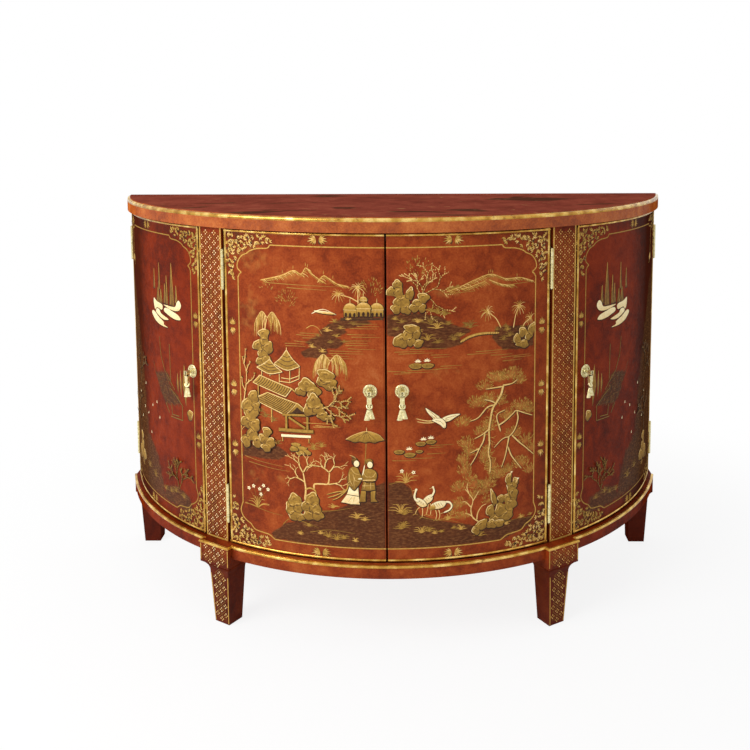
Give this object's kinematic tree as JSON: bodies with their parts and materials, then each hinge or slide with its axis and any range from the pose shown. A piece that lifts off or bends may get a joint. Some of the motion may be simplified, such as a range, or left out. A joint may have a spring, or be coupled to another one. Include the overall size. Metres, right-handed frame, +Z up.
{
  "type": "half-moon cabinet",
  "caption": "Half-moon entryway cabinet on square legs with curved doors, drop pulls, shelves and gilt beads, finished in red lacquer with painted gold landscapes.",
  "frame": {"origin": "on the floor, under the middle of the cabinet's width and depth", "axes": "+X to the viewer's right along the width, +Y towards the back (the doors face -Y), +Z up"},
  "size_m": [1.2514, 0.5156, 0.838],
  "materials": {
    "lacquer": "aged red lacquer with gold painting",
    "lacquer_top": "darker red lacquer",
    "gilt": "rubbed gilding",
    "interior": "dark painted wood",
    "bare_wood": "stained wood",
    "brass": "pale worn brass",
    "steel": "zinc plated",
    "catch_plastic": "moulded brown"
  },
  "bodies": {
    "carcase": {"back_panel": "bare_wood", "base_apron_centre": "lacquer", "base_apron_left": "lacquer", "base_apron_right": "lacquer", "base_back_rail": "bare_wood", "base_bead": "gilt", "bottom_board": "lacquer", "carcase_screws": "steel", "carcase_top": "interior", "catches": "catch_plastic", "centre_shelf": "interior", "cleats_and_blocks": "bare_wood", "front_stile_left": "lacquer", "front_stile_right": "lacquer", "hinge_frame_leaves": "brass", "hinge_pins": "brass", "leg_front_left": "lacquer", "leg_front_right": "lacquer", "leg_rear_left": "lacquer", "leg_rear_right": "lacquer", "partition_left": "interior", "partition_right": "interior", "rear_post_left": "lacquer", "rear_post_right": "lacquer", "side_shelf_left": "interior", "side_shelf_right": "interior", "top_bead": "gilt", "top_board": "lacquer_top"},
    "door_centre_right": {"door_bead_centre_right": "gilt", "door_centre_right": "lacquer", "hinge_leaves_centre_right": "brass", "hinge_screws_centre_right": "steel", "pull_post_centre_right": "brass", "pull_rosette_centre_right": "brass", "strike_plate_centre_right": "steel"},
    "drop_centre_right": {"pull_drop_centre_right": "brass"},
    "door_centre_left": {"door_bead_centre_left": "gilt", "door_centre_left": "lacquer", "hinge_leaves_centre_left": "brass", "hinge_screws_centre_left": "steel", "pull_post_centre_left": "brass", "pull_rosette_centre_left": "brass", "strike_plate_centre_left": "steel"},
    "drop_centre_left": {"pull_drop_centre_left": "brass"},
    "door_side_right": {"door_bead_side_right": "gilt", "door_side_right": "lacquer", "hinge_leaves_side_right": "brass", "hinge_screws_side_right": "steel", "pull_post_side_right": "brass", "pull_rosette_side_right": "brass", "strike_plate_side_right": "steel"},
    "drop_side_right": {"pull_drop_side_right": "brass"},
    "door_side_left": {"door_bead_side_left": "gilt", "door_side_left": "lacquer", "hinge_leaves_side_left": "brass", "hinge_screws_side_left": "steel", "pull_post_side_left": "brass", "pull_rosette_side_left": "brass", "strike_plate_side_left": "steel"},
    "drop_side_left": {"pull_drop_side_left": "brass"}
  },
  "joints": [
    {"name": "door_centre_right_hinge", "type": "hinge", "parent": "carcase", "child": "door_centre_right", "pos_m": [0.31858, -0.156, 0.2569], "axis": [0, 0, 1], "range_deg": [0, 110]},
    {"name": "drop_centre_right_swing", "type": "hinge", "parent": "door_centre_right", "child": "drop_centre_right", "pos_m": [0.03056, -0.25344, 0.51], "axis": [-0.9989, -0.0475, 0], "range_deg": [-10, 85]},
    {"name": "door_centre_left_hinge", "type": "hinge", "parent": "carcase", "child": "door_centre_left", "pos_m": [-0.31858, -0.156, 0.2569], "axis": [0, 0, -1], "range_deg": [0, 110]},
    {"name": "drop_centre_left_swing", "type": "hinge", "parent": "door_centre_left", "child": "drop_centre_left", "pos_m": [-0.03056, -0.25344, 0.51], "axis": [-0.9989, 0.0475, 0], "range_deg": [-10, 85]},
    {"name": "door_side_right_hinge", "type": "hinge", "parent": "carcase", "child": "door_side_right", "pos_m": [0.61045, 0.22621, 0.2569], "axis": [0, 0, 1], "range_deg": [0, 110]},
    {"name": "drop_side_right_swing", "type": "hinge", "parent": "door_side_right", "child": "drop_side_right", "pos_m": [0.4047, -0.11112, 0.51], "axis": [-0.7779, -0.6284, 0], "range_deg": [-10, 85]},
    {"name": "door_side_left_hinge", "type": "hinge", "parent": "carcase", "child": "door_side_left", "pos_m": [-0.61045, 0.22621, 0.2569], "axis": [0, 0, -1], "range_deg": [0, 110]},
    {"name": "drop_side_left_swing", "type": "hinge", "parent": "door_side_left", "child": "drop_side_left", "pos_m": [-0.4047, -0.11112, 0.51], "axis": [-0.7779, 0.6284, 0], "range_deg": [-10, 85]}
  ]
}
